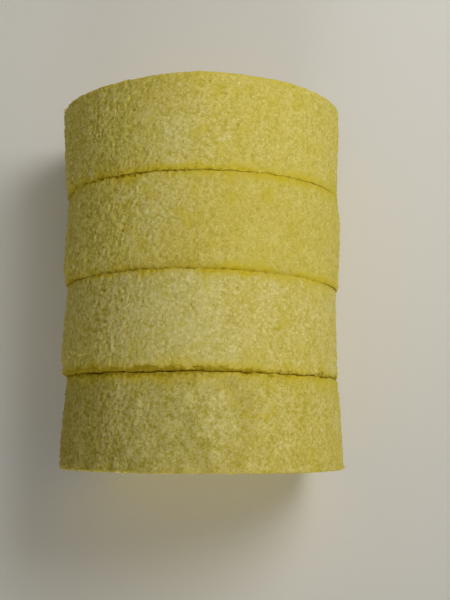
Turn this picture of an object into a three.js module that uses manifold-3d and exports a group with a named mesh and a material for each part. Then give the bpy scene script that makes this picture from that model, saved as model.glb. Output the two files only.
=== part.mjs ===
// Lemon roll cake: a sponge sheet rolled up, cut across into four slices that still stand together.
// Millimetres. X runs across the roll, Y along it with the back at +Y, and Z up from the flat base.

import * as THREE from 'three';
import Module from 'manifold-3d';

// Cross-section of the roll, measured from the middle of its widest level
const HALF_WIDTH = 42.5; // of the roll as a whole
const CROWN_HEIGHT = 42.4;
const BASE_DEPTH = 31; // down to the flat base
const SAG_DEPTH = 41; // where the underside's curve would end if the base weren't pressed flat
const PRESS_BLEND = 6; // how softly the underside runs into the flat base
const UNDERSIDE_POWER = 2.3; // exponent of the underside's superellipse

// Cuts from back to front: place along the roll, turn about Z in degrees,
// exponent of the upper outline there, and the gap that the cut leaves open
const CUTS = [
  { y: 55.85, turn: 0.2, power: 1.78, gap: 0 },
  { y: 27.75, turn: -0.2, power: 1.94, gap: 0.3 },
  { y: -0.35, turn: -1.15, power: 1.86, gap: 0.3 },
  { y: -28.45, turn: -1.05, power: 1.88, gap: 0.7 },
  { y: -55.85, turn: -0.5, power: 1.87, gap: 0 },
];

// Slices from back to front: half widths to the left and right as [at the back, at the front],
// and how far the crown stands above or below its usual height
const SLICES = [
  { name: 'slice_1', left: [43.8, 42.5], right: [43.6, 42.4], rise: 0.2 },
  { name: 'slice_2', left: [41.6, 43.2], right: [43.3, 42.3], rise: -0.4 },
  { name: 'slice_3', left: [41.3, 43.4], right: [41.9, 42.1], rise: 0.3 },
  { name: 'slice_4', left: [41.1, 43.3], right: [42.3, 43.4], rise: -0.1 },
];

// Cut edges and the slow unevenness of the soft skin
const EDGE_RADIUS = 0.7;
const PHASE_STEP = 1.7; // shift of the waves from one slice to the next, in radians
const WAVES = [
  { height: 0.15, around: 3, along: 1, phase: 1 },
  { height: 0.09, around: 5, along: -2, phase: -2.3 },
  { height: 0.06, around: 8, along: 3, phase: 4.1 },
];

// Spiral joint where the rolled sheet lies against itself, seen as a shallow groove on each cut face
const SHEET_THICKNESS = 18;
const JOINT_WIDTH = 0.9;
const JOINT_DEPTH = 1.6;
const JOINT_PROUD = 1; // how far the groove's cutter stands out of the face
const JOINT_START = -0.9; // angle on the outline, in radians, where the sheet's outer end is tucked in
const JOINT_OUTER = 0.955; // share of the outline's radius at that end
const JOINT_INNER = 0.13; // share at the centre of the roll

// Fineness
const AROUND = 88; // columns around a slice
const STATIONS = 5; // rings between a slice's two cut edges
const EDGE_STEPS = 2; // steps round each cut edge
const JOINT_STEPS = 68;

const SPONGE_COLOUR = 0xdfd57f;
const SPONGE_ROUGHNESS = 0.95;

const SECTION_CENTRE = (CROWN_HEIGHT - BASE_DEPTH) / 2; // middle of the height, from the widest level

const wasm = await Module();
wasm.setup();

const mix = (a, b, share) => a + (b - a) * share;
const signedPower = (value, power) => Math.sign(value) * Math.abs(value) ** power;

// Point of the outline at an angle from +X: one superellipse above the widest level, another below it
function outline(angle, power, left, right, crown, depth) {
  const cosine = Math.cos(angle);
  const sine = Math.sin(angle);
  const exponent = 2 / (sine > 0 ? power : UNDERSIDE_POWER);
  const halfWidth = cosine > 0 ? right : left;
  const reach = sine > 0 ? crown : depth;
  return { x: halfWidth * signedPower(cosine, exponent), z: reach * signedPower(sine, exponent) };
}

// Height pressed flat at a floor: the larger of the two, with a parabola where they are close
function pressed(height, floor) {
  const closeness = Math.max(PRESS_BLEND - Math.abs(height - floor), 0) / PRESS_BLEND;
  return Math.max(height, floor) + (closeness ** 2 * PRESS_BLEND) / 4;
}

// Slow swell of the skin: waves round and along the roll, shifted from slice to slice
function swell(angle, share, shift) {
  return WAVES.reduce((sum, wave) => {
    const turn = wave.around * angle + wave.along * share + wave.phase * shift;
    return sum + wave.height * Math.sin(turn);
  }, 0);
}

// Place along the roll of a cut's plane at a distance x from the middle
const cutAt = (cut, x) => cut.y + x * Math.tan(THREE.MathUtils.degToRad(cut.turn));

// Rings of a slice from its back to its front: how far each is pulled in from the outline,
// its distance from the nearer cut, and its share of the way along between the two edges
function ringList() {
  const edge = [];
  for (let step = 0; step <= EDGE_STEPS; step += 1) {
    const turn = (step / EDGE_STEPS) * (Math.PI / 2);
    edge.push({ inset: EDGE_RADIUS * (1 - Math.sin(turn)), depth: EDGE_RADIUS * (1 - Math.cos(turn)) });
  }
  const back = edge.map((ring) => ({ ...ring, share: 0 }));
  const front = edge.map((ring) => ({ ...ring, share: 1 })).reverse();
  const between = [];
  for (let station = 1; station < STATIONS; station += 1) {
    between.push({ inset: 0, depth: EDGE_RADIUS, share: station / STATIONS });
  }
  return [...back, ...between, ...front];
}

// Closed skin of one slice: rings of the outline from the back cut to the front cut,
// with a fan over each cut face
function sliceGeometry(slice, back, front, shift) {
  const points = [];
  const faces = [];
  const rings = ringList();
  for (const { inset, depth, share } of rings) {
    const power = mix(back.power, front.power, share);
    const left = mix(slice.left[0], slice.left[1], share);
    const right = mix(slice.right[0], slice.right[1], share);
    for (let column = 0; column < AROUND; column += 1) {
      const angle = (column / AROUND) * 2 * Math.PI;
      const rim = outline(angle, power, left, right, CROWN_HEIGHT + slice.rise, SAG_DEPTH);
      const radius = Math.hypot(rim.x, rim.z - SECTION_CENTRE);
      const scale = 1 + (swell(angle, share, shift) - inset) / radius;
      const x = rim.x * scale;
      const z = SECTION_CENTRE + (rim.z - SECTION_CENTRE) * scale;
      const nearBack = cutAt(back, x) - back.gap / 2 - depth;
      const nearFront = cutAt(front, x) + front.gap / 2 + depth;
      points.push(x, mix(nearBack, nearFront, share), pressed(z + BASE_DEPTH, inset));
    }
  }
  const backPole = points.length / 3;
  points.push(0, back.y - back.gap / 2, SECTION_CENTRE + BASE_DEPTH);
  const frontPole = backPole + 1;
  points.push(0, front.y + front.gap / 2, SECTION_CENTRE + BASE_DEPTH);
  const lastRing = (rings.length - 1) * AROUND;
  for (let column = 0; column < AROUND; column += 1) {
    const next = (column + 1) % AROUND;
    faces.push(backPole, next, column);
    faces.push(frontPole, lastRing + column, lastRing + next);
    for (let ring = 0; ring < lastRing; ring += AROUND) {
      faces.push(ring + column, ring + next, ring + AROUND + next);
      faces.push(ring + column, ring + AROUND + next, ring + AROUND + column);
    }
  }
  return closedGeometry(points, faces);
}

// Centre line of the spiral joint: the outline shrunk towards the middle of the section,
// by one sheet thickness for each turn
function jointLine(power) {
  const perTurn = SHEET_THICKNESS / HALF_WIDTH;
  const sweep = ((JOINT_OUTER - JOINT_INNER) / perTurn) * 2 * Math.PI;
  const line = [];
  for (let step = 0; step <= JOINT_STEPS; step += 1) {
    const along = step / JOINT_STEPS;
    const angle = JOINT_START + along * sweep;
    const rim = outline(angle, power, HALF_WIDTH, HALF_WIDTH, CROWN_HEIGHT, BASE_DEPTH);
    const share = mix(JOINT_OUTER, JOINT_INNER, along);
    line.push(new THREE.Vector2(rim.x * share, SECTION_CENTRE + (rim.z - SECTION_CENTRE) * share));
  }
  return line;
}

// Cutter for one groove: a band of rectangular section along the joint's line,
// from lowest to highest along Y, measured from the cut's plane
function jointCutter(cut, lowest, highest) {
  const line = jointLine(cut.power);
  const points = [];
  const faces = [];
  line.forEach((centre, step) => {
    const before = line[Math.max(step - 1, 0)];
    const after = line[Math.min(step + 1, JOINT_STEPS)];
    const across = after.clone().sub(before).normalize().multiplyScalar(JOINT_WIDTH / 2);
    for (const [depth, side] of [[lowest, -1], [highest, -1], [highest, 1], [lowest, 1]]) {
      const x = centre.x - side * across.y;
      points.push(x, cutAt(cut, x) + depth, centre.y + side * across.x + BASE_DEPTH);
    }
  });
  for (let step = 0; step < JOINT_STEPS; step += 1) {
    for (let corner = 0; corner < 4; corner += 1) {
      const a = 4 * step + corner;
      const b = 4 * step + ((corner + 1) % 4);
      faces.push(a, b, b + 4, a, b + 4, a + 4);
    }
  }
  const end = 4 * JOINT_STEPS;
  faces.push(0, 2, 1, 0, 3, 2, end, end + 1, end + 2, end, end + 2, end + 3);
  return closedGeometry(points, faces);
}

function closedGeometry(points, faces) {
  const geometry = new THREE.BufferGeometry();
  geometry.setAttribute('position', new THREE.Float32BufferAttribute(points, 3));
  geometry.setIndex(faces);
  return geometry;
}

function toSolid(geometry) {
  const vertProperties = new Float32Array(geometry.getAttribute('position').array);
  const triVerts = new Uint32Array(geometry.getIndex().array);
  return new wasm.Manifold(new wasm.Mesh({ numProp: 3, vertProperties, triVerts }));
}

function toGeometry(solid) {
  const { vertProperties, triVerts } = solid.getMesh();
  const geometry = closedGeometry(vertProperties, Array.from(triVerts));
  geometry.computeVertexNormals();
  return geometry;
}

// One slice with the spiral joint's groove in both of its cut faces
function sliceMesh(slice, index) {
  const back = CUTS[index];
  const front = CUTS[index + 1];
  const backFace = -back.gap / 2;
  const frontFace = front.gap / 2;
  const solid = toSolid(sliceGeometry(slice, back, front, PHASE_STEP * index))
    .subtract(toSolid(jointCutter(back, backFace - JOINT_DEPTH, backFace + JOINT_PROUD)))
    .subtract(toSolid(jointCutter(front, frontFace - JOINT_PROUD, frontFace + JOINT_DEPTH)));
  const material = new THREE.MeshStandardMaterial({
    color: SPONGE_COLOUR,
    roughness: SPONGE_ROUGHNESS,
    metalness: 0,
  });
  const mesh = new THREE.Mesh(toGeometry(solid), material);
  mesh.name = slice.name;
  return mesh;
}

const cake = new THREE.Group();
cake.add(...SLICES.map(sliceMesh));

// The origin is the middle of the base
const middle = new THREE.Box3().setFromObject(cake).getCenter(new THREE.Vector3());
cake.position.set(-middle.x, -middle.y, 0);

export default cake;
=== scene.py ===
import math

import bpy
import numpy as np
from mathutils import Matrix, Vector


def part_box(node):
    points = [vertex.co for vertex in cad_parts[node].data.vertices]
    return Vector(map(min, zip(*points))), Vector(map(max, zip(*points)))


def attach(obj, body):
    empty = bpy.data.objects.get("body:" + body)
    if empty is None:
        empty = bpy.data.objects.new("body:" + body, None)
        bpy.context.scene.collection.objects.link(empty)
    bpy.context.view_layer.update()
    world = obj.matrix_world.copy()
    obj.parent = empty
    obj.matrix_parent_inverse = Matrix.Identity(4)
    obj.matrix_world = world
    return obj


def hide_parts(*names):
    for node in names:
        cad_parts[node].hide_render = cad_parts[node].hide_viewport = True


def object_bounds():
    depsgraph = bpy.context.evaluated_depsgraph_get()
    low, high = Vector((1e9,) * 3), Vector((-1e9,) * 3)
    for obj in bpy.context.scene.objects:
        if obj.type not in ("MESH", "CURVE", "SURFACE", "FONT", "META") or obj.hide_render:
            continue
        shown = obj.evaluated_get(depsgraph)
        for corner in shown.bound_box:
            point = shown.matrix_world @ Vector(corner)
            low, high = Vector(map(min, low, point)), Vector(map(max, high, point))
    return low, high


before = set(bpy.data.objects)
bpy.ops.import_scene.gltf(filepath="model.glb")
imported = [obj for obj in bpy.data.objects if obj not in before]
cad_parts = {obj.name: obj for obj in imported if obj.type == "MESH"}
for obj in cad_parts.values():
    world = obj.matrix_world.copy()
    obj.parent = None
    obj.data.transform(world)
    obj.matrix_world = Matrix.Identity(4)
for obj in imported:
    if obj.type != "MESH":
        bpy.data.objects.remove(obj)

cadLow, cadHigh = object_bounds()  # the solids' own box, whose middle the lamps aim at
mm = 0.001
fullTurn = 2 * math.pi
farAway = 1.0  # metres, past any distance on the cake
print("frame loaded with", sorted(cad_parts))


# Roll: the cross-section, measured from the middle of its widest level

roll = {
    "halfWidth": 42.5 * mm,
    "crownHeight": 42.4 * mm,
    "baseDepth": 31 * mm,
    "sagDepth": 41 * mm,  # where the underside would end if the base weren't pressed flat
    "pressBlend": 6 * mm,  # how softly the underside runs into the base
    "undersidePower": 2.3,
    "waveStep": 1.7,  # shift of the slow waves from slice to slice
    "tuckFront": 0.8,  # share of a slice's length where the tuck of its front left corner starts
    "tuckBack": 0.3,  # and where the tuck of its back right corner ends
    "rightFrom": (-0.6, 0.5),  # shares of the half width over which the cuts' looks change
    "lift": 0.05 * mm,  # how far the base stays off the floor
}
sectionCentre = (roll["crownHeight"] - roll["baseDepth"]) / 2  # middle of the height
centreHeight = sectionCentre + roll["baseDepth"]  # and above the floor

# cuts from back to front: place along the roll, turn in degrees, outline's power, gap of the solids,
# how wide the groove between the slices' lips is where they part, how deep, share of the length where
# they do, how far the cut wanders, the edge behind it and the edge ahead of it (how far each runs
# along the roll and how deep it sinks), how round they are, how strong the painted golden glow of
# bounced light is along the cut, how strong the painted shade is behind it and ahead of it, and how far
# from it
cuts = [
    {"y": 55.85 * mm, "turn": 0.2, "power": 1.78, "gap": 0,
     "parted": 0, "groove": 1 * mm, "open": 0, "wander": 0.14 * mm,
     "edges": ((0, 0), (0.7 * mm, 0.7 * mm)), "round": 1,
     "golden": 0.4, "cutShade": (0, 0.1), "band": 1.3 * mm},
    {"y": 27.75 * mm, "turn": -0.2, "power": 1.94, "gap": 0.3 * mm,
     "parted": 0.1 * mm, "groove": 0.3 * mm, "open": 0.12, "wander": 0.17 * mm,
     "edges": ((1.2 * mm, 0.11 * mm), (0.9 * mm, 0.08 * mm)), "round": 0,
     "golden": 1, "cutShade": (0.4, 0.45), "band": 1.8 * mm},
    {"y": -0.35 * mm, "turn": -1.15, "power": 1.86, "gap": 0.3 * mm,
     "parted": 0.12 * mm, "groove": 0.3 * mm, "open": 0.12, "wander": 0.17 * mm,
     "edges": ((1.2 * mm, 0.32 * mm), (0.8 * mm, 0.24 * mm)), "round": 0,
     "golden": 1, "cutShade": (0.5, 0.4), "band": 1.5 * mm},
    {"y": -28.45 * mm, "turn": -1.05, "power": 1.88, "gap": 0.7 * mm,
     "parted": 0.36 * mm, "groove": 0.6 * mm, "open": 0.55, "wander": 0.22 * mm,
     "edges": ((1.4 * mm, 1.4 * mm), (0.5 * mm, 0.4 * mm)), "round": 0.7,
     "golden": 1, "cutShade": (1.5, 0.7), "band": 2.3 * mm},
    {"y": -55.85 * mm, "turn": -0.5, "power": 1.87, "gap": 0,
     "parted": 0, "groove": 1 * mm, "open": 0, "wander": 0.14 * mm,
     "edges": ((0.7 * mm, 0.7 * mm), (0, 0)), "round": 1,
     "golden": 0.2, "cutShade": (0, 0), "band": 1.2 * mm},
]

# slices from back to front: half widths (back, front) on either side, the crown's rise and how far the
# front left and back right corners are tucked in, all in mm; how coarse and pale the skin is and how much
# painted shade darkens it; where it is dusted most (x in mm, share along, reach in mm); squares along the
# side of each cut face (back, front); and a seed
slices = [
    {"node": "slice_1", "left": (43.8, 42.5), "right": (43.6, 42.4), "rise": 0.2, "tuck": (0.4, 0.2),
     "coarse": 1.0, "pale": 0.20, "paintedShade": 0, "dusted": (-6, 0.75, 11),
     "squares": (140, 60), "seed": 11},
    {"node": "slice_2", "left": (41.6, 43.2), "right": (43.3, 42.3), "rise": -0.4, "tuck": (0.9, 0.9),
     "coarse": 0.9, "pale": 0.08, "paintedShade": 0, "dusted": (-12, 0.4, 10),
     "squares": (96, 96), "seed": 23},
    {"node": "slice_3", "left": (41.3, 43.4), "right": (41.9, 42.1), "rise": 0.3, "tuck": (0.9, 0),
     "coarse": 1.05, "pale": 0.50, "paintedShade": 0.1, "dusted": (-10, 0.4, 22),
     "squares": (96, 96), "seed": 37},
    {"node": "slice_4", "left": (41.1, 43.3), "right": (42.3, 43.4), "rise": -0.1, "tuck": (0.3, 0.4),
     "coarse": 1.55, "pale": 0.24, "paintedShade": 0.8, "dusted": (-10, 0.5, 22),
     "squares": (60, 140), "seed": 53},
]

# slow waves of the skin: height, waves around, waves along, share of the slice's shift
waves = [
    (0.15 * mm, 3, 1, 1.0),
    (0.09 * mm, 5, -2, -2.3),
    (0.06 * mm, 8, 3, 4.1),
]

# spiral where the rolled sheet lies against itself
joint = {
    "sheet": 18 * mm,  # thickness of the rolled sheet
    "start": -0.9,  # angle on the outline of the sheet's outer end
    "outer": 0.955,  # share of the outline's radius there
    "inner": 0.13,  # and at the centre
    "turns": 3,
    "width": 1.0 * mm,
    "depth": 1.1 * mm,
    "wobble": 0.5 * mm,
    "wobbleSizes": (2.2 * mm, 0.9 * mm),
    "widthRange": (0.85, 0.5),  # share of the width in the middle of its range, and how much it varies
    "openSize": 6 * mm,  # of the stretches where the joint is open
    "openLevels": (-0.7, 0.3),  # of the noise, shut below the first and open above the second
    "shut": 0.3,  # depth where it is shut, as a share
    "gather": 3.2 * mm,  # from this far the face's points are drawn towards the joint
    "gatherPower": 1.6,
}

# fineness of the skin
grid = {
    "columns": 740,
    "crownShare": 0.28,  # columns stand this much closer on the crown and wider on the base
    "edgeRows": 4,  # rows round each cut edge
    "flankRows": 91,  # rows between the edges
    "faceStep": 0.35 * mm,  # the cut face's grid starts this far inside its edge
}


def mix(a, b, share):
    return a + (b - a) * share


def smooth(low, high, value):  # 0 below low, 1 above high, and an s-curve between
    t = np.clip((value - low) / (high - low), 0, 1)
    return t * t * (3 - 2 * t)


# lattice noise: random numbers on a lattice of that spacing, blended by a quintic between its corners;
# it repeats after size cells, and each seed starts a little further on
def latticeNoise(points, spacing, seed, size=48, further=0.37):
    table = np.random.default_rng(seed).uniform(-1, 1, (size, size, size))
    scaled = points / spacing + further * seed
    cell = np.floor(scaled).astype(int)
    t = scaled - cell
    t = t * t * t * (t * (t * 6 - 15) + 10)
    total = np.zeros(len(points))
    for corner in np.ndindex(2, 2, 2):
        index = (cell + corner) % size
        weight = np.prod(np.where(corner, t, 1 - t), axis=1)
        total += weight * table[index[:, 0], index[:, 1], index[:, 2]]
    return total


# cell noise: one random point in each cell of that spacing; gives the distance to the nearest
# point in cells, and a random number that belongs to that point
def cellNoise(points, spacing, seed, size=40, further=0.61):
    table = np.random.default_rng(seed).random((size, size, size, 4))
    scaled = points / spacing + further * seed
    cell = np.floor(scaled).astype(int)
    nearest = np.full(len(points), np.inf)
    owner = np.zeros(len(points))
    for step in np.ndindex(3, 3, 3):
        corner = cell + step - np.array((1, 1, 1))
        index = corner % size
        drawn = table[index[:, 0], index[:, 1], index[:, 2]]
        distance = np.linalg.norm(corner + drawn[:, :3] - scaled, axis=1)
        closer = distance < nearest
        nearest = np.where(closer, distance, nearest)
        owner = np.where(closer, drawn[:, 3], owner)
    return nearest, owner


# outline: x = half width * sign(cos) |cos|^(2/power), z = reach * sign(sin) |sin|^(2/power),
# with one power and reach above the widest level and another below it
def outline(angle, power, left, right, crown, depth):
    cosine, sine = np.cos(angle), np.sin(angle)
    exponent = 2 / np.where(sine > 0, power, roll["undersidePower"])
    x = np.where(cosine > 0, right, left) * np.sign(cosine) * np.abs(cosine) ** exponent
    z = np.where(sine > 0, crown, depth) * np.sign(sine) * np.abs(sine) ** exponent
    return x, z


# pressed height: the larger of height and floor, plus a parabola where the two are close
def pressed(height, floor):
    blend = roll["pressBlend"]
    closeness = np.maximum(blend - np.abs(height - floor), 0) / blend
    return np.maximum(height, floor) + closeness**2 * blend / 4


# rim: the outline at an angle and a share of the way along the slice, swollen by the slow waves,
# pulled in by inset towards the section's centre and pressed flat underneath
def rim(number, angle, share, inset):
    spec, back, front = slices[number], cuts[number], cuts[number + 1]
    frontLeft, backRight = spec["tuck"]
    left = (mix(*spec["left"], share) - frontLeft * smooth(roll["tuckFront"], 1, share)) * mm
    right = (mix(*spec["right"], share) - backRight * (1 - smooth(0, roll["tuckBack"], share))) * mm
    power = mix(back["power"], front["power"], share)
    crown = roll["crownHeight"] + spec["rise"] * mm
    x, z = outline(angle, power, left, right, crown, roll["sagDepth"])
    swell = -inset
    for height, around, along, part in waves:
        swell = swell + height * np.sin(around * angle + along * share + part * roll["waveStep"] * number)
    scale = 1 + swell / np.hypot(x, z - sectionCentre)
    x = x * scale
    z = sectionCentre + (z - sectionCentre) * scale
    return x, pressed(z + roll["baseDepth"], inset)


# cut face's place along the roll: the cut's tilted plane, half the gap back from its middle
def faceAt(number, share, x):
    cut = cuts[number + share]
    return cut["y"] + x * math.tan(math.radians(cut["turn"])) + cut["gap"] / 2 * (1 if share else -1)


# rows of a slice from back to front: round each cut edge a blend of a parabola and a quarter ellipse,
# with its inset from the outline and its offset along the roll, and a straight run between the two
def sliceRows(number):
    turn = np.linspace(0, math.pi / 2, grid["edgeRows"] + 1)
    backRun, backDepth = cuts[number]["edges"][1]
    frontRun, frontDepth = cuts[number + 1]["edges"][0]
    ellipse, parabola, depth = 1 - np.sin(turn), np.cos(turn) ** 2, 1 - np.cos(turn)
    middle = np.linspace(0, 1, grid["flankRows"] + 1)[1:-1]
    backInset = backDepth * mix(parabola, ellipse, cuts[number]["round"])
    frontInset = frontDepth * mix(parabola, ellipse, cuts[number + 1]["round"])[::-1]
    insets = np.concatenate([backInset, 0 * middle, frontInset])
    run = mix(-backRun, frontRun, middle)
    offsets = np.concatenate([-backRun * depth, run, frontRun * depth[::-1]])
    shares = np.concatenate([0 * turn, middle, 0 * turn + 1])
    return insets[:, None], offsets[:, None], shares[:, None]


def columnAngles():  # evenly round, drawn towards the crown
    even = np.arange(grid["columns"]) / grid["columns"] * fullTurn
    return even + grid["crownShare"] * np.cos(even)


# skin: the rim carried along the roll, from the back cut's edge to the front cut's edge
def skinForm(number):
    inset, offset, share = sliceRows(number)
    x, z = rim(number, columnAngles()[None, :], share, inset)
    y = mix(faceAt(number, 0, x), faceAt(number, 1, x), share) + offset
    return np.stack([x, y, z], axis=-1)


# spiral joint: the outline shrunk towards the section's centre by one sheet thickness for each time
# round; gives the signed distance along the radius to the nearest of its turns
def jointDistance(power, angle, distance):
    half = roll["halfWidth"]
    x, z = outline(angle, power, half, half, roll["crownHeight"], roll["baseDepth"])
    whole = np.hypot(x, z - sectionCentre)
    around = (angle - joint["start"]) % fullTurn / fullTurn
    nearest = np.full(distance.shape, farAway)
    for turn in range(joint["turns"]):
        level = joint["outer"] - joint["sheet"] / half * (around + turn)
        away = np.where(level > joint["inner"], distance - level * whole, farAway)
        nearest = np.where(np.abs(away) < np.abs(nearest), away, nearest)
    return nearest


# crease of the spiral joint: a bell curve of the distance from it, which wobbles, varies in width and
# is shut over some stretches
def jointCrease(points, gap, seed):
    opened = smooth(*joint["openLevels"], latticeNoise(points, joint["openSize"], seed + 12))
    wobble = joint["wobble"] * twoNoises(points, joint["wobbleSizes"], seed + 14)
    middle, vary = joint["widthRange"]
    width = joint["width"] * (middle + vary * latticeNoise(points, joint["wobbleSizes"][0], seed + 16))
    return np.exp(-((2 * (gap + wobble) / width) ** 2)) * mix(joint["shut"], 1, opened)


# cut face: a square grid laid over the disc square by square, so a point has the share of the radius
# max(|s|, |t|) and an angle that runs evenly round its square; the disc has the rim's shape, and
# points near the spiral joint are drawn along the radius towards it
def faceForm(number, share):
    side = np.linspace(-1, 1, slices[number]["squares"][share] + 1)
    s, t = np.meshgrid(side, side, indexing="ij")
    wide = np.abs(s) >= np.abs(t)
    long, short = np.where(wide, s, t), np.where(wide, t, s)
    lean = math.pi / 4 * np.divide(short, long, out=np.zeros_like(s), where=long != 0)
    angle = np.where(wide, lean, math.pi / 2 - lean) + np.where(long < 0, math.pi, 0)
    depth = cuts[number + share]["edges"][1 - share][1]
    x, z = rim(number, angle, share, depth + grid["faceStep"])
    reach = np.hypot(x, z - centreHeight)
    distance = np.abs(long) * reach
    away = jointDistance(cuts[number + share]["power"], angle, distance)
    closeness = np.minimum(np.abs(away) / joint["gather"], 1)
    drawn = away * closeness ** (joint["gatherPower"] - 1)
    moved = np.where(np.abs(long) < 1, (distance + drawn - away) / reach, 1)
    x, z = x * moved, centreHeight + (z - centreHeight) * moved
    form = np.stack([x, faceAt(number, share, x), z], axis=-1)
    return form, angle, drawn, (1 - moved) * reach + grid["faceStep"]


# dimples: round hollows at some of the scattered points, each with a least radius and what its random
# number adds to that, out to an edge given in radii
def dimples(points, look, seed):
    least, more = look["radius"]
    far, kind = cellNoise(points, look["spacing"], seed)
    radius = (least + more * kind) / look["spacing"]
    return smooth(0, 1, look["edge"] - far / radius) * (kind < look["share"])


# crumb of the skin: uneven noise of two fine sizes on soft lumps, proud specks, floury patches that
# are longer along the roll than across it, pinholes, and pits down the flanks, where all is coarser;
# what is named From sets in between two shares of the half width
skinCrumb = {
    "layers": (  # height, size, how much it shows in the colour as painted shading of the relief, and seed
        (0.09 * mm, 0.85 * mm, 0.2, 20),
        (0.08 * mm, 0.5 * mm, 0.2, 21),
        (0.09 * mm, 2.2 * mm, 0.08, 3),
    ),
    "speck": 0.05 * mm,
    "speckSize": 0.9 * mm,
    "speckShare": 0.2,
    "speckEdge": 0.8,  # how softly a speck ends
    "patchSize": 4 * mm,
    "patchAcross": 1.6,
    "patchFine": 0.6,  # size and strength of the smaller patches as a share of the larger ones'
    "bare": 1.2,  # how much less flour there is on the left flank
    "bareFrom": (0.35, 0.8),
    "leftFlank": 1.2,  # how much coarser the flanks are than the crown
    "leftFrom": (0.2, 0.75),
    "rightFlank": 0.3,
    "rightFrom": (0.35, 0.85),
    "flankRelief": 0.7,  # share of that coarseness that is relief; the colour's painted shading of the relief takes all of it
    "coarsest": 1.25,  # on the left of the crown
    "calm": 0.45,  # how much finer the skin is right of the middle
    "calmFrom": (-0.3, 0.6),
    "tuft": 0.23 * mm,  # torn tufts where the roll is widest
    "tuftSize": 0.5 * mm,
    "tuftFrom": (0.84, 0.97),
    "tuftSpeck": 0.7,  # how much the specks add to them
    "tuftLevel": 0.6,  # of the noise, at the height of the skin
    "pinhole": {"depth": 0.6 * mm, "spacing": 3.4 * mm, "share": 0.55,
                "radius": (0.18 * mm, 0.3 * mm), "edge": 1.5},
    "pit": {"depth": 0.3 * mm, "spacing": 1.5 * mm, "share": 0.6,
            "radius": (0.216 * mm, 0.36 * mm), "edge": 1.5},
    "pitShade": 0.7,  # how dark the painted shade in a pit is beside that in a pinhole
}


def flouryPatches(points, seed):  # a large noise and a smaller one, drawn out along the roll
    size, across, fine = (skinCrumb[name] for name in ("patchSize", "patchAcross", "patchFine"))
    smeared = points * np.array((across, 1, across))
    large = latticeNoise(smeared, size * across, seed)
    return large + fine * latticeNoise(smeared, size * fine, seed + 1)


def skinRelief(points, coarse, seed):
    look = skinCrumb
    side = points[:, 0] / roll["halfWidth"]
    patch = flouryPatches(points, seed) - look["bare"] * smooth(*look["bareFrom"], -side)
    height, tone = 0, 0
    # the tone reads the same noise as the height: the colour is darker in the hollows and lighter on the
    # tops, painted shading of the relief
    for depth, size, shown, step in look["layers"]:
        layer = latticeNoise(points, size, seed + step)
        height, tone = height + depth * layer, tone + shown * layer
    near, owner = cellNoise(points, look["speckSize"], seed + 2)
    speck = smooth(0, look["speckEdge"], 1 - near) * (owner > 1 - look["speckShare"])
    flank = look["leftFlank"] * smooth(*look["leftFrom"], -side)
    flank = flank + look["rightFlank"] * smooth(*look["rightFrom"], side)
    coarse = coarse * (look["coarsest"] - look["calm"] * smooth(*look["calmFrom"], side))
    rough = coarse + flank
    tuft = latticeNoise(points, look["tuftSize"], seed + 23) + look["tuftSpeck"] * speck
    tuft = look["tuft"] * smooth(*look["tuftFrom"], np.abs(side)) * (tuft - look["tuftLevel"])
    pinhole = dimples(points, look["pinhole"], seed + 4)
    pit = flank * dimples(points, look["pit"], seed + 22)
    height = height + look["speck"] * speck
    height = (np.minimum(coarse, 1) + look["flankRelief"] * flank) * height + tuft
    height = height - look["pinhole"]["depth"] * pinhole - look["pit"]["depth"] * pit
    # pinholes and pits are darkened in the colour as well, painted shade in them
    return height, rough * tone, speck, patch, np.maximum(pinhole, look["pitShade"] * pit), rough


# crumb of a cut face: fine uneven crumb on a soft ground, with small pores and a few larger hollows
faceCrumb = {
    "crumb": 0.16 * mm,
    "crumbSize": 1.0 * mm,
    "bend": 0.35 * mm,  # how far the pores are pushed out of round
    "pore": {"depth": 0.22 * mm, "spacing": 1.5 * mm, "share": 1,
             "radius": (0.15 * mm, 0.48 * mm), "edge": 1.5},
    "hollow": {"depth": 0.55 * mm, "spacing": 5.2 * mm, "share": 0.3,
               "radius": (0.52 * mm, 1.3 * mm), "edge": 1.6},
    "poreShade": 0.6,  # how dark the painted shade in a pore is beside that in a hollow
    "uneven": 0.2 * mm,
    "unevenSize": 3.2 * mm,
    "proud": 0.15 * mm,  # the most that a face stands out of its cut
    "rim": 1.5 * mm,  # the face is smooth this close to its edge
}


def faceRelief(points, fromEdge, seed):
    look = faceCrumb
    bent = points + look["bend"] * latticeNoise(points, look["crumbSize"], seed + 8)[:, None]
    pore, hollow = dimples(bent, look["pore"], seed + 5), dimples(bent, look["hollow"], seed + 6)
    height = look["uneven"] * latticeNoise(points, look["unevenSize"], seed + 7)
    height = height + look["crumb"] * latticeNoise(points, look["crumbSize"], seed + 9)
    height = height - look["pore"]["depth"] * pore - look["hollow"]["depth"] * hollow
    inner = smooth(0, look["rim"], fromEdge)
    # pores and hollows are darkened in the colour, painted shade in them
    return inner * np.minimum(height, look["proud"]), inner * np.maximum(look["poreShade"] * pore, hollow)


def rightward(points):  # 0 on the left flank and 1 right of the middle
    return smooth(*roll["rightFrom"], points[:, 0] / roll["halfWidth"])


# torn edge: bites out of the cut edges, small ones on longer ones, and where slices meet only a few
# short nicks
tornEdge = {
    "middle": 0.2 * mm,  # how far from the cut the skin is torn most
    "faceAway": 0.5 * mm,  # how much less a face's edge is torn, as a distance
    "reach": 1.1 * mm,
    "bite": 0.22 * mm,
    "biteSize": 1.1 * mm,
    "swing": 0.15 * mm,
    "swingSize": 4.5 * mm,
    "nick": 0.7 * mm,
    "nickSize": 0.9 * mm,
    "nickReach": 0.55 * mm,
    "nickLevel": 0.2,  # of the noise, above which there is a nick
    "nickSides": (1.1, 0.35),  # depth on the left and on the right
}


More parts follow.
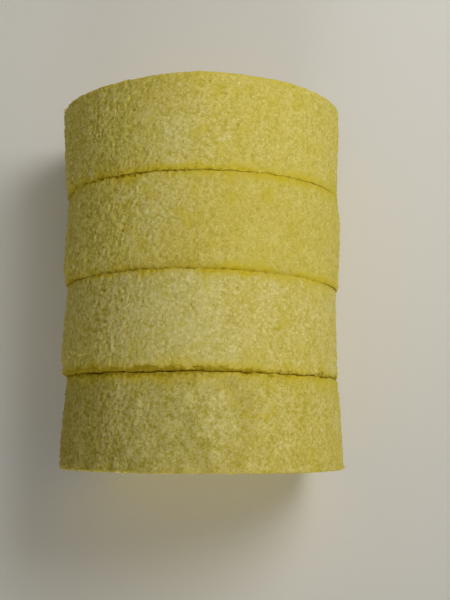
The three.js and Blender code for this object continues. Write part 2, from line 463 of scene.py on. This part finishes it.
def edgeRelief(points, distance, meets, seed):
    look = tornEdge
    near = np.exp(-((distance / look["reach"]) ** 2))
    bite = np.maximum(latticeNoise(points, look["biteSize"], seed + 10), 0)
    swing = np.maximum(latticeNoise(points, look["swingSize"], seed + 11), 0)
    nick = np.maximum(latticeNoise(points, look["nickSize"], seed + 24) - look["nickLevel"], 0)
    nick = look["nick"] * mix(*look["nickSides"], rightward(points)) * nick
    nick = nick * np.exp(-((distance / look["nickReach"]) ** 2))
    return -np.where(meets, nick, near * (look["bite"] * bite + look["swing"] * swing))


# lips: where two slices meet, their faces lean over the gap until they all but touch, and only their
# edges stay parted over some stretches, as a ragged groove; both sides read the same noise, so they
# part together and wander together
lips = {
    "clear": -0.05 * mm,  # soft enough to press into each other a little
    "skinReach": 4 * mm,
    "faceReach": 9 * mm,
    "stretches": ((7 * mm, 1, 0), (2.2 * mm, 0.6, 1), (0.9 * mm, 0.6, 9)),  # size, weight and seed
    "openSpan": 0.9,  # level of the noise that parts all of a cut or none of it
    "openEdge": 0.3,  # how softly a stretch ends
    "ragged": 0.9,  # how much the width of the groove varies on either side
    "raggedSizes": (1.6 * mm, 0.6 * mm),
    "wanderSizes": (2.6 * mm, 0.8 * mm),
    "wanderReach": 1.8 * mm,
    "rightShut": 0.5,  # how much less they part right of the middle
    "seed": 71,
}


def twoNoises(points, sizes, seed, share=0.6):  # a large one with that share, and a smaller one
    large, small = sizes
    return share * latticeNoise(points, large, seed) + (1 - share) * latticeNoise(points, small, seed + 1)


def lipShift(number, share, points, distance, onFace):
    cut = cuts[number + share]
    flat = points * np.array((1, 0, 1))
    seed = lips["seed"] + 10 * (number + share)
    part = lips["openSpan"] * (1 - 2 * cut["open"]) + lips["rightShut"] * rightward(points)
    for size, weight, step in lips["stretches"]:
        part = part + weight * latticeNoise(flat, size, seed + step)
    closed = smooth(-lips["openEdge"], lips["openEdge"], part)
    closed = np.maximum(closed, onFace * smooth(0, cut["groove"], distance))
    ragged = lips["ragged"] * twoNoises(flat, lips["raggedSizes"], seed + 4 + 2 * share)
    left = mix(cut["parted"] * (1 + ragged), min(lips["clear"], cut["gap"]), closed)
    reach = mix(lips["skinReach"], lips["faceReach"], onFace)
    lean = (cut["gap"] - left) / 2 * (1 - smooth(0, 1, distance / reach)) * (-1 if share else 1)
    wander = cut["wander"] * 2 * twoNoises(flat, lips["wanderSizes"], seed + 2)
    return lean + wander * (1 - smooth(0, 1, distance / lips["wanderReach"]))


# golden band along a cut, a painted glow of light bounced in the seam: a bell curve of the distance from
# it, uneven along its length and weaker down the flanks; the painted shade closest to the cut is a
# narrower one
edgeBand = {
    "smooth": 0.35 * mm,  # how far from a cut the face's crumb gives way to the skin's
    "unevenSize": 3.5 * mm,
    "uneven": 0.7,
    "patchSize": 8 * mm,
    "patchLevels": (-0.5, 0.3),  # of the noise, weak below the first and strong above the second
    "patchy": 0.35,
    "flank": 0.85,
    "cutShade": 0.45,  # the painted shade's reach as a share of the golden band's
    "cutShadeSides": (1.2, 0.5),  # its strength on the left and on the right
    "insideCutShade": 0.9,  # the painted shade's strength on a face that meets another, seen where the gap opens
    "inside": 2.5 * mm,  # and its reach there
}


def goldenBand(number, share, points, distance):
    cut, seed = cuts[number + share], slices[number]["seed"] + 13 + share
    uneven = latticeNoise(points, edgeBand["unevenSize"], seed)
    reach = cut["band"] * (1 + edgeBand["uneven"] * uneven)
    height = mix(edgeBand["flank"], 1, smooth(centreHeight, 2 * centreHeight, points[:, 2]))
    patch = smooth(*edgeBand["patchLevels"], latticeNoise(points, edgeBand["patchSize"], seed + 30))
    strength = mix(1 - edgeBand["patchy"], 1, patch)
    golden = cut["golden"] * strength * height * np.exp(-((distance / reach) ** 2))
    cutShade = cut["cutShade"][1 - share] * height * mix(*edgeBand["cutShadeSides"], rightward(points))
    cutShade = cutShade * np.exp(-((distance / reach / edgeBand["cutShade"]) ** 2))
    return np.stack([golden, cutShade])


def gridNormals(form):  # across a grid that closes in its columns
    around = np.roll(form, -1, axis=1) - np.roll(form, 1, axis=1)
    along = np.gradient(form, axis=0)
    normal = np.cross(around, along)
    return normal / np.linalg.norm(normal, axis=-1, keepdims=True)


def fitToBox(points, node):  # a last stretch, well under a percent, onto the solid's own box
    low, high = (np.array(corner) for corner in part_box(node))
    least, most = points.min(axis=0), points.max(axis=0)
    return low + (points - least) * (high - low) / (most - least)


# mesh from points, a list of face arrays (one row of point numbers for each face) and point values
def addMesh(name, points, faces, attributes, crisp=None):
    mesh = bpy.data.meshes.new(name)
    corners = np.concatenate([f.ravel() for f in faces])
    sizes = np.concatenate([np.full(len(f), f.shape[1]) for f in faces])
    mesh.vertices.add(len(points))
    mesh.vertices.foreach_set("co", points.astype(np.float32).ravel())
    mesh.loops.add(len(corners))
    mesh.loops.foreach_set("vertex_index", corners.astype(np.int32))
    mesh.polygons.add(len(sizes))
    mesh.polygons.foreach_set("loop_start", (np.cumsum(sizes) - sizes).astype(np.int32))
    mesh.polygons.foreach_set("use_smooth", np.ones(len(sizes), dtype=bool))
    for label, values in attributes.items():
        mesh.attributes.new(label, "FLOAT", "POINT").data.foreach_set("value", values.astype(np.float32))
    mesh.update(calc_edges=True)
    if crisp is not None:  # no smooth shading across the edges between these points
        ends = np.zeros(2 * len(mesh.edges), dtype=np.int32)
        mesh.edges.foreach_get("vertices", ends)
        sharp = crisp[ends.reshape(-1, 2)].all(axis=1)
        mesh.attributes.new("sharp_edge", "BOOLEAN", "EDGE").data.foreach_set("value", sharp)
    mesh.validate()
    piece = bpy.data.objects.new(name, mesh)
    bpy.context.scene.collection.objects.link(piece)
    return piece, int((sizes - 2).sum())


# stitch: walks round two rings of points at once, in order of angle, and adds a triangle at each step
def stitchRings(outer, outerAngle, inner, innerAngle):
    rings = []
    for ids, angle in ((outer, outerAngle % fullTurn), (inner, innerAngle % fullTurn)):
        order = np.argsort(angle)
        turned = angle[order]
        steps = (turned + np.append(turned[1:], turned[0] + fullTurn)) / 2
        rings.append((ids[order], steps))
    (outerIds, outerSteps), (innerIds, innerSteps) = rings
    order = np.argsort(np.concatenate([outerSteps, innerSteps]))
    isOuter = order < len(outerIds)
    o = np.cumsum(isOuter) - isOuter
    i = np.cumsum(~isOuter) - ~isOuter
    here, there = outerIds[o % len(outerIds)], innerIds[i % len(innerIds)]
    ahead = np.where(isOuter, outerIds[(o + 1) % len(outerIds)], innerIds[(i + 1) % len(innerIds)])
    return np.stack([here, ahead, there], axis=1)


def quadsOf(ids):  # the four corners of each square of a grid of point numbers
    return np.stack([ids[:-1, :-1], ids[1:, :-1], ids[1:, 1:], ids[:-1, 1:]], axis=-1).reshape(-1, 4)


# flour and painted shade: how much a slice's dusted place and the floury patches add to the flour,
# and how much the patches take off the painted shade, which ends right of the middle
tint = {"place": 0.6, "patch": 0.3, "shadePatch": 0.9, "shadeMost": 1.8, "shadeEnd": 30 * mm}


# dusted place: a soft round patch on the skin, by the distance across and along the slice from its middle
def dustedPlace(spec, points):
    x, along, reach = spec["dusted"]
    low, high = points[:, 1].min(), points[:, 1].max()
    across = (points[:, 0] / mm - x) / reach
    length = (points[:, 1] - mix(high, low, along)) / mm / reach
    return np.exp(-(across**2) - length**2)


# skin's part of a slice: its points, their outward directions, how much each counts as cut face, and its
# distances from the two cuts, from the torn edge, inwards from a face's edge and from the spiral joint
def skinPart(number):
    skin = skinForm(number)
    fromBack = (faceAt(number, 0, skin[..., 0]) - skin[..., 1]).ravel()
    fromFront = (skin[..., 1] - faceAt(number, 1, skin[..., 0])).ravel()
    fromCut = np.minimum(fromBack, fromFront)
    ids = np.arange(fromCut.size).reshape(skin.shape[:2])
    onFace = 1 - smooth(0, edgeBand["smooth"], fromCut)
    fromTear, away = np.abs(fromCut - tornEdge["middle"]), np.full(fromCut.size, farAway)
    places, outward = skin.reshape(-1, 3), gridNormals(skin).reshape(-1, 3)
    part = places, outward, onFace, fromBack, fromFront, fromTear, 0 * fromCut, away
    return part, [quadsOf(np.concatenate([ids, ids[:, :1]], axis=1).T)], ids


# cut face's part, with the same values, and the strip that joins it to the skin's last ring
def facePart(number, share, ring, first):
    form, angle, fromJoint, fromEdge = faceForm(number, share)
    turn = math.radians(cuts[number + share]["turn"])
    outward = np.array((math.sin(turn), -math.cos(turn), 0)) * (1 if share else -1)
    ids = first + np.arange(angle.size).reshape(angle.shape)
    border = np.ones(angle.shape, dtype=bool)
    border[1:-1, 1:-1] = False
    strip = stitchRings(ring, columnAngles(), ids[border], angle[border])
    faces = [made if share else made[:, ::-1] for made in (strip, quadsOf(ids))]
    inward, away = fromEdge.ravel(), np.full(angle.size, farAway)
    fromBack, fromFront = (away, inward) if share else (inward, away)
    places, outward = form.reshape(-1, 3), np.broadcast_to(outward, (angle.size, 3))
    fromTear, onFace = inward + tornEdge["faceAway"], np.ones(angle.size)
    part = places, outward, onFace, fromBack, fromFront, fromTear, inward, fromJoint.ravel()
    return part, faces


def sliceSurface(number):  # the skin's grid with a cut face stitched into each end
    part, faces, ids = skinPart(number)
    parts = [part]
    for share in (0, 1):
        first = sum(len(places) for places, *_ in parts)
        part, made = facePart(number, share, ids[-share], first)
        parts.append(part)
        faces.extend(made)
    return [np.concatenate(values) for values in zip(*parts)], faces, ids


# one slice: the smooth surface fitted to the solid's box, then the crumb pushed out along its normals
# and the lips leant over the gaps
def makeSlice(number):
    spec, seed = slices[number], slices[number]["seed"]
    values, faces, ids = sliceSurface(number)
    points, outward, onFace, fromBack, fromFront, fromTear, inward, fromJoint = values
    points = fitToBox(points, spec["node"])
    within = (inward > 0) * 1.0
    meets = np.where(fromBack < fromFront, number > 0, number < len(slices) - 1)
    shift = lipShift(number, 0, points, fromBack, within) + lipShift(number, 1, points, fromFront, within)
    skinHeight, reliefShading, speck, patch, holeShade, rough = skinRelief(points, spec["coarse"], seed)
    faceHeight, pore = faceRelief(points, inward, seed)
    faceHeight = np.where(meets, np.minimum(faceHeight, 0), faceHeight)
    height = mix(skinHeight, faceHeight, onFace) + edgeRelief(points, fromTear, meets, seed)
    crease = jointCrease(points, fromJoint, seed)
    # painted golden glow of light bounced in the seams, and painted shade closest to the cuts
    golden, cutShade = goldenBand(number, 0, points, fromBack) + goldenBand(number, 1, points, fromFront)
    inside = np.exp(-((inward / edgeBand["inside"]) ** 2))
    # painted shade also on the rims of faces that meet, where the gap between them opens
    cutShade = np.maximum(cutShade, within * meets * edgeBand["insideCutShade"] * inside)
    dusted = spec["pale"] + tint["place"] * dustedPlace(spec, points) + tint["patch"] * patch
    push = outward * (height - joint["depth"] * crease)[:, None]
    near = np.exp(-((np.minimum(fromBack, fromFront) / tornEdge["reach"]) ** 2))
    push[:, 1] *= 1 - meets * near  # where slices meet, the edges only move up and down
    points = points + push
    points[:, 1] += shift
    points[:, 2] = np.maximum(points[:, 2], roll["lift"])  # the base stays flat on the floor
    # painted shade: darkens the front slices, less in the floury patches and not at all right of the
    # middle
    paintedShade = spec["paintedShade"] * np.clip(1 - tint["shadePatch"] * patch, 0, tint["shadeMost"])
    attributes = {
        "onFace": within,
        "paintedShade": paintedShade * (1 - smooth(0, tint["shadeEnd"], points[:, 0])),
        "golden": np.clip(golden, 0, 1),
        "cutShade": np.clip(cutShade, 0, 1),
        "crease": crease,
        # painted shading of the relief, on the skin only
        "reliefShading": mix(reliefShading, 0, onFace),
        "rough": rough,
        "speck": speck * (1 - onFace),
        "dusted": dusted,
        # painted shade in pinholes, pits, pores and hollows
        "pore": mix(holeShade, pore, onFace),
    }
    crisp = np.zeros(len(points), dtype=bool)
    crisp[ids[0]] = number > 0
    crisp[ids[-1]] = number < len(slices) - 1
    name = "lemonSlice" + spec["node"][-1]
    piece, count = addMesh(name, points, faces, attributes, crisp)
    print(name, "made with", count, "triangles")
    return piece


# Shader sums: a socket that can be added, subtracted and multiplied

class Wire:
    def __init__(self, tree, socket=None):
        self.tree = tree
        self.socket = socket

    # any node: settings first, then its sockets by name or number
    def node(self, kind, settings, sockets, out=0):
        made = self.tree.nodes.new(kind)
        for name, value in settings.items():
            setattr(made, name, value)
        for name, value in sockets.items():
            if isinstance(value, Wire):
                self.tree.links.new(value.socket, made.inputs[name])
            else:
                made.inputs[name].default_value = value
        return Wire(self.tree, made.outputs[out])

    def sum(self, operation, a, b):
        return self.node("ShaderNodeMath", {"operation": operation}, {0: a, 1: b})

    def __add__(self, other):
        return self.sum("ADD", self, other)

    def __radd__(self, other):
        return self.sum("ADD", other, self)

    def __sub__(self, other):
        return self.sum("SUBTRACT", self, other)

    def __rsub__(self, other):
        return self.sum("SUBTRACT", other, self)

    def __mul__(self, other):
        return self.sum("MULTIPLY", self, other)

    def __rmul__(self, other):
        return self.sum("MULTIPLY", other, self)

    def atMost(self, most):
        return self.sum("MINIMUM", self, most)

    def step(self, low, high):  # an s-curve from 0 at low to 1 at high
        settings = {"interpolation_type": "SMOOTHSTEP", "clamp": True}
        return self.node("ShaderNodeMapRange", settings, {0: self, 1: low, 2: high, 3: 0.0, 4: 1.0})

    def mixed(self, a, b, blend="MIX"):  # colour a where this is 0, colour b or their blend where it is 1
        settings = {"data_type": "RGBA", "clamp_factor": True, "blend_type": blend}
        return self.node("ShaderNodeMix", settings, {0: self, 6: a, 7: b}, out=2)

    def into(self, shader, socket):
        self.tree.links.new(self.socket, shader.inputs[socket])


def newMaterial(name):
    material = bpy.data.materials.new(name)
    material.use_nodes = True
    tree = material.node_tree
    shader = next(n for n in tree.nodes if n.type == "BSDF_PRINCIPLED")
    return material, Wire(tree), shader


def setSockets(node, values):
    for name, value in values.items():
        node.inputs[name].default_value = value


def rgb(r, g, b):
    return (r, g, b, 1.0)


def noise(wire, place, size, detail):  # size in metres of its main features
    return wire.node("ShaderNodeTexNoise", {}, {"Vector": place, "Scale": 1 / size, "Detail": detail})


# cells: the distance to the nearest of scattered points, in cells, and that point's random number
def cells(wire, place, size):
    near = wire.node("ShaderNodeTexVoronoi", {"feature": "F1"}, {"Vector": place, "Scale": 1 / size})
    drawn = Wire(wire.tree, near.socket.node.outputs["Color"])
    return near, wire.node("ShaderNodeSeparateColor", {}, {0: drawn})


# warped place: pushed about by a noise of that size, so that round cells turn uneven
def warped(wire, place, size, reach):
    push = wire.node("ShaderNodeTexNoise", {}, {"Vector": place, "Scale": 1 / size, "Detail": 1.0}, out=1)
    settings = {"operation": "MULTIPLY_ADD"}
    shift = (-reach / 2, -reach / 2, -reach / 2)
    centred = wire.node("ShaderNodeVectorMath", settings, {0: push, 1: (reach, reach, reach), 2: shift})
    return wire.node("ShaderNodeVectorMath", {"operation": "ADD"}, {0: place, 1: centred})


def attribute(wire, name):
    return wire.node("ShaderNodeAttribute", {"attribute_name": name}, {}, out=2)


# Sponge: one finish for all four slices and the crumbs

sponge = {
    "gaps": rgb(0.595, 0.502, 0.055),  # between the grains: painted shade in the hollows of the relief, and darker tone at random
    "paintedShade": rgb(0.72, 0.70, 0.62),  # painted shade that darkens the front slices
    "skin": rgb(0.74, 0.628, 0.125),
    "grains": rgb(0.82, 0.715, 0.20),
    "floury": rgb(0.795, 0.712, 0.275),
    "specks": rgb(0.90, 0.81, 0.34),
    "blotch": rgb(0.73, 0.60, 0.05),
    "edge": rgb(0.73, 0.585, 0.025),  # along the cuts: painted golden glow of light bounced in the seams, and the loose crumbs' own deeper tone
    "cutShadeColour": rgb(0.435, 0.322, 0.010),  # painted shade in the seams, closest to them
    "crumb": rgb(0.91, 0.775, 0.245),
    "crumbDeep": rgb(0.83, 0.685, 0.135),
    # hollow: painted shade in pinholes, pits, pores and hollows
    "hollow": rgb(0.56, 0.43, 0.042),
    "joint": rgb(0.66, 0.52, 0.06),
    "roughness": (0.86, 1.0),
}
spongeSockets = {
    "Specular IOR Level": 0.2,
    "Subsurface Weight": 0.3,
    "Subsurface Radius": (1.0, 0.75, 0.3),
    "Subsurface Scale": 0.6 * mm,
}

# patterns: noises with their size and detail, and scattered cells with their size, the size of the
# noise that warps them and how far it does
noisePatterns = {
    "blotch": (6 * mm, 3),
    "mottle": (2.6 * mm, 2),
    "fleck": (1.2 * mm, 3),
    "fine": (0.38 * mm, 3),
}
cellPatterns = {
    "bubble": (0.8 * mm, 0.8 * mm, 0.5 * mm),
    "fluff": (0.8 * mm, 0.7 * mm, 0.5 * mm),
    "tuft": (1.4 * mm, 1.1 * mm, 0.6 * mm),
}


def spongePatterns(wire):
    place = wire.node("ShaderNodeTexCoord", {}, {}, out=3)
    made = {name: noise(wire, place, *look) for name, look in noisePatterns.items()}
    for name, (size, warpSize, reach) in cellPatterns.items():
        made[name], made[name + "Drawn"] = cells(wire, warped(wire, place, warpSize, reach), size)
    return made


# look of the skin: pairs are the levels over which a colour sets in
skinLook = {
    "fine": 1.9,  # how much each pattern adds to the tone
    "fleck": 0.75,
    "mottle": 0.55,
    "mottleMost": 1.3,  # the roughest skin that the mottle still follows
    "gaps": (-0.45, 0.05),  # of the tone, from the gaps to the skin
    "grains": (0.0, 0.4),  # and from the skin to the grains
    "dust": (0.4, 1.3),
    "dustParts": (0.55, 0.6, 0.35),  # of the dusted places, of the tone, and all over
    "specks": 0.7,
    "speckDust": (0.0, 0.9),  # of the dust, where specks show
    "fluff": ((0.6, 0.1), (0.5, 0.95)),  # of the distance in a cell, and of its random number
    "tuft": ((0.45, 0.05), (0.35, 0.8)),
    "fluffDust": 1.4,  # how much fluff and tufts follow the dust
    "fluffLeast": 0.25,
    # how strongly the painted shade darkens the front slices
    "paintedShade": 0.6,
    "stain": 0.55,
    "stainFleck": 0.2,  # how much the flecks break up the stains
    "stainFrom": (0.64, 0.8),
    "stainRough": (2.4, 1.2),  # of the roughness, where stains show
}


def softDots(pattern, name):  # in the middle of some of the cells
    near, drawn = skinLook[name]
    return pattern[name].step(*near) * pattern[name + "Drawn"].step(*drawn)


# skin's colour: a tone of the relief's painted shading and of noises runs from the gaps through the skin
# to the grains; over it lie flour, specks and fluff, then the painted shade of the front slices and
# golden stains
def skinColour(value, pattern):
    look, rough, dusted = skinLook, value["rough"], value["dusted"]
    fine, fleck, mottle = pattern["fine"], pattern["fleck"], pattern["mottle"]
    level = (look["fine"] + look["fleck"]) / 2  # a noise is a half on the whole
    tone = value["reliefShading"] + rough * (fine * look["fine"] + fleck * look["fleck"] - level)
    tone = tone + rough.atMost(look["mottleMost"]) * (mottle - 0.5) * look["mottle"]
    colour = tone.step(*look["gaps"]).mixed(sponge["gaps"], sponge["skin"])
    colour = tone.step(*look["grains"]).mixed(colour, sponge["grains"])
    byPlace, byTone, least = look["dustParts"]
    dust = dusted * byPlace + tone * byTone + least
    colour = dust.step(*look["dust"]).mixed(colour, sponge["floury"])
    specks = value["speck"] * dusted.step(*look["speckDust"]) * look["specks"]
    colour = specks.mixed(colour, sponge["specks"])
    fluff = softDots(pattern, "fluff") + softDots(pattern, "tuft")
    fluff = fluff * (dusted * look["fluffDust"] + look["fluffLeast"])
    colour = fluff.mixed(colour, sponge["specks"])
    # painted shade of the front slices, multiplied in so that the crumb's pattern stays
    colour = (value["paintedShade"] * look["paintedShade"]).mixed(colour, sponge["paintedShade"], "MULTIPLY")
    stain = (pattern["blotch"] + fleck * look["stainFleck"]).step(*look["stainFrom"])
    stain = stain * rough.step(*look["stainRough"])
    return (stain * look["stain"]).mixed(colour, sponge["blotch"])


# look of a cut face: how much two noises add to the tone of its crumb, and its bubbles, small pores of
# painted shade
faceLook = {
    "fine": 0.6,
    "blotch": 0.4,
    "crumb": (0.3, 0.7),
    "bubble": 0.6,
    "bubbleNear": (0.35, 0.0),
}


def faceColour(pattern):
    look = faceLook
    tone = pattern["fine"] * look["fine"] + pattern["blotch"] * look["blotch"]
    colour = tone.step(*look["crumb"]).mixed(sponge["crumbDeep"], sponge["crumb"])
    bubble = pattern["bubble"].step(*look["bubbleNear"]) * look["bubble"]
    return bubble.mixed(colour, sponge["hollow"])


# look of the cuts' bands (painted golden glow, painted shade) which two noises break up, the spiral
# joint, and the holes' painted shade
bandLook = {
    "fleck": 0.6,
    "fine": 0.4,
    "golden": (0.4, 0.6),
    "goldenMore": 0.7,
    "goldenLeast": 0.6,
    "cutShade": (0.52, 0.72),
    "cutShadePull": 0.25,  # how much a strong painted shade closes up
    "cutShadeFrom": (0.0, 0.35),
    "crease": 0.55,
    "pore": 0.7,
}


def bandColour(colour, value, pattern):
    look, cutShade = bandLook, value["cutShade"]
    torn = pattern["fleck"] * look["fleck"] + pattern["fine"] * look["fine"]
    # painted golden glow of light bounced in the seam, broken up by the noises
    golden = value["golden"] * (torn.step(*look["golden"]) * look["goldenMore"] + look["goldenLeast"])
    colour = golden.mixed(colour, sponge["edge"])
    # painted shade in the seams, in broken patches that close up where it is strong
    cutShaded = (torn + cutShade * look["cutShadePull"]).step(*look["cutShade"]) * cutShade.step(*look["cutShadeFrom"])
    colour = cutShaded.mixed(colour, sponge["cutShadeColour"])
    colour = (value["crease"] * look["crease"]).mixed(colour, sponge["joint"])
    # painted shade in the pinholes, pits, pores and hollows
    return (value["pore"] * look["pore"]).mixed(colour, sponge["hollow"])


# fine relief of the finish: how much each pattern adds, its strength and its depth
bump = {"fine": 0.7, "bubble": 0.4, "fleck": 0.3, "strength": 0.6, "depth": 0.35 * mm}


def spongeMaterial():
    material, wire, shader = newMaterial("lemonSponge")
    names = ("onFace", "golden", "crease", "reliefShading", "speck", "dusted", "pore", "paintedShade", "cutShade", "rough")
    value, pattern = {name: attribute(wire, name) for name in names}, spongePatterns(wire)
    colour = value["onFace"].mixed(skinColour(value, pattern), faceColour(pattern))
    bandColour(colour, value, pattern).into(shader, "Base Color")
    low, high = sponge["roughness"]
    (pattern["fine"] * (high - low) + low).into(shader, "Roughness")
    relief = pattern["fine"] * bump["fine"] + (1 - pattern["bubble"]) * bump["bubble"]
    relief = relief + pattern["fleck"] * bump["fleck"]
    sockets = {"Strength": bump["strength"], "Distance": bump["depth"], "Height": relief}
    wire.node("ShaderNodeBump", {}, sockets).into(shader, "Normal")
    setSockets(shader, spongeSockets)
    return material


spongeFinish = spongeMaterial()
for number in range(len(slices)):
    piece = makeSlice(number)
    piece.data.materials.append(spongeFinish)
    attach(piece, "root")
    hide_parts(slices[number]["node"])


# Loose crumbs: small uneven lumps that cling to the skin along the cuts

crumbs = {
    "counts": (14, 18, 18, 30, 14),  # along each cut, from the back
    "radius": (0.16 * mm, 0.4 * mm),
    "spread": 0.9 * mm,  # how far from the cut they lie
    "proud": 0.1,  # share of the radius that the middle stands above the skin
    "around": (-0.1, math.pi + 0.1),  # angles on the outline
    "rings": 3,
    "columns": 7,
    "uneven": 0.35,
    "stretch": (0.55, 1.3),
    "ahead": 0.5,  # share that lies on the slice ahead of a cut between two
    "golden": (0.3, 0.6),  # least, and what each one's shade adds
    "dusted": 0.3,
    "seed": 91,
}


# lump: a ball of rings and columns with two poles, each point's radius changed by a random share
def crumbForms(random, count):
    rings, columns = crumbs["rings"], crumbs["columns"]
    polar = (np.arange(rings) + 1)[:, None] / (rings + 1) * math.pi
    turn = np.arange(columns)[None, :] / columns * fullTurn
    x, y, z = np.sin(polar) * np.cos(turn), np.sin(polar) * np.sin(turn), np.cos(polar) + 0 * turn
    ball = np.stack([x, y, z], axis=-1).reshape(-1, 3)
    ball = np.concatenate([ball, [(0, 0, 1), (0, 0, -1)]])
    uneven = 1 + crumbs["uneven"] * random.uniform(-1, 1, (count, len(ball), 1))
    stretch = random.uniform(*crumbs["stretch"], (count, 1, 3))
    ids = np.arange(rings * columns).reshape(rings, columns)
    ids = np.concatenate([ids, ids[:, :1]], axis=1)
    top, bottom = len(ball) - 2, len(ball) - 1
    fan = np.stack([ids[0, :-1], ids[0, 1:], np.full(columns, top)], axis=1)
    foot = np.stack([ids[-1, 1:], ids[-1, :-1], np.full(columns, bottom)], axis=1)
    return ball * uneven * stretch, [quadsOf(ids), fan, foot]


# crumbs: scattered at random angles along each cut, half sunk in the skin
def makeCrumbs():
    random = np.random.default_rng(crumbs["seed"])
    places, outward = [], []
    for index, count in enumerate(crumbs["counts"]):
        angle = random.uniform(*crumbs["around"], count)
        away = np.abs(random.normal(0, crumbs["spread"], count))
        ahead = np.full(count, index == 0)
        if 0 < index < len(slices):
            ahead = random.random(count) < crumbs["ahead"]
        for share, chosen in ((0, ahead), (1, ~ahead)):  # on the slice ahead of the cut or behind it
            number = index - share
            if not chosen.any():
                continue
            x, z = rim(number, angle[chosen], share, 0 * angle[chosen])
            y = faceAt(number, share, x) + away[chosen] * (1 if share else -1)
            places.append(np.stack([x, y, z], axis=-1))
            radial = np.stack([x, 0 * x, z - centreHeight], axis=-1)
            outward.append(radial / np.linalg.norm(radial, axis=1, keepdims=True))
    places, outward = np.concatenate(places), np.concatenate(outward)
    low, high = crumbs["radius"]
    radius = mix(low, high, random.random(len(places)) ** 2)[:, None]  # small ones are commoner
    forms, faces = crumbForms(random, len(places))
    centres = places + outward * radius * crumbs["proud"]
    points = centres[:, None, :] + forms * radius[:, None, :]
    step = forms.shape[1] * np.arange(len(places))
    allFaces = [(f[None, :, :] + step[:, None, None]).reshape(-1, f.shape[1]) for f in faces]
    shade = np.repeat(random.random(len(places)), forms.shape[1])
    least, more = crumbs["golden"]
    attributes = {"golden": least + more * shade, "dusted": crumbs["dusted"] * (1 - shade)}
    return addMesh("looseCrumbs", points.reshape(-1, 3), allFaces, attributes)


crumbPiece, crumbCount = makeCrumbs()
crumbPiece.data.materials.append(spongeFinish)
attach(crumbPiece, "root")
print("looseCrumbs made with", crumbCount, "triangles")


# Floor: a plain pale surface under the cake

floorLook = {
    "near": rgb(0.85, 0.84, 0.805),
    "far": rgb(0.97, 0.965, 0.95),  # pale enough to run into the air
    "fade": (0.3, 1.5),
    "half": 8,
    "sockets": {"Specular IOR Level": 0.2, "Roughness": 0.7},
}


def makeFloor():
    half = floorLook["half"]
    points = np.array([(-half, -half, 0), (half, -half, 0), (half, half, 0), (-half, half, 0)])
    floor, _ = addMesh("floor", points, [np.array([[0, 1, 2, 3]])], {})
    material, wire, shader = newMaterial("paleFloor")
    place = wire.node("ShaderNodeTexCoord", {}, {}, out=3)
    away = wire.node("ShaderNodeVectorMath", {"operation": "LENGTH"}, {0: place}, out=1)
    away.step(*floorLook["fade"]).mixed(floorLook["near"], floorLook["far"]).into(shader, "Base Color")
    setSockets(shader, floorLook["sockets"])
    floor.data.materials.append(material)


makeFloor()
print("floor laid")


# Light: a soft key from the back right, a low fill from the front and pale air all round

lights = [
    {"name": "key", "at": (0.226, 0.19, 0.405), "size": 0.26, "spread": 180, "power": 1.04,
     "colour": (1.0, 0.975, 0.935)},
    {"name": "fill", "at": (0.05, -1.40, 0.36), "size": 0.5, "spread": 30, "power": 0.24,
     "colour": (1.0, 0.97, 0.92)},
]
air = {"Color": rgb(1.0, 0.968, 0.885), "Strength": 0.202}


def addLights():
    middle = Vector((cadLow + cadHigh) / 2)
    for spec in lights:
        light = bpy.data.lights.new(spec["name"], "AREA")
        light.shape = "DISK"
        light.size = spec["size"]
        light.spread = math.radians(spec["spread"])
        light.energy = spec["power"]
        light.color = spec["colour"]
        lamp = bpy.data.objects.new(spec["name"], light)
        at = Vector(spec["at"])
        aim = (middle - at).to_track_quat("-Z", "Y").to_matrix().to_4x4()
        lamp.matrix_world = Matrix.Translation(at) @ aim
        bpy.context.scene.collection.objects.link(lamp)
    world = bpy.data.worlds.new("air")
    world.use_nodes = True
    setSockets(next(n for n in world.node_tree.nodes if n.type == "BACKGROUND"), air)
    bpy.context.scene.world = world
    bpy.context.scene.view_settings.view_transform = "Standard"


addLights()
print("lights set")


# Camera: nearly straight down, from in front of the cake's middle

camera = {
    "at": (4.0 * mm, -44.9 * mm, 354.5 * mm),
    "tilt": 7.3,  # degrees off straight down, looking towards the back
    "side": -0.59,
    "roll": -0.2,
    "focal": 1039,  # focal length in pixels of a picture 600 high
    "sensor": 36,
    "pictureHeight": 600,
    "nearest": 10 * mm,  # what is closer to it isn't seen
}


def addCamera():
    data = bpy.data.cameras.new("view")
    data.sensor_width = camera["sensor"]
    data.lens = camera["focal"] * camera["sensor"] / camera["pictureHeight"]
    data.clip_start = camera["nearest"]
    eye = bpy.data.objects.new("view", data)
    pose = Matrix.Translation(camera["at"])
    for angle, axis in ((camera["side"], "Y"), (camera["tilt"], "X"), (camera["roll"], "Z")):
        pose = pose @ Matrix.Rotation(math.radians(angle), 4, axis)
    eye.matrix_world = pose
    bpy.context.scene.collection.objects.link(eye)
    bpy.context.scene.camera = eye


addCamera()
print("camera set")
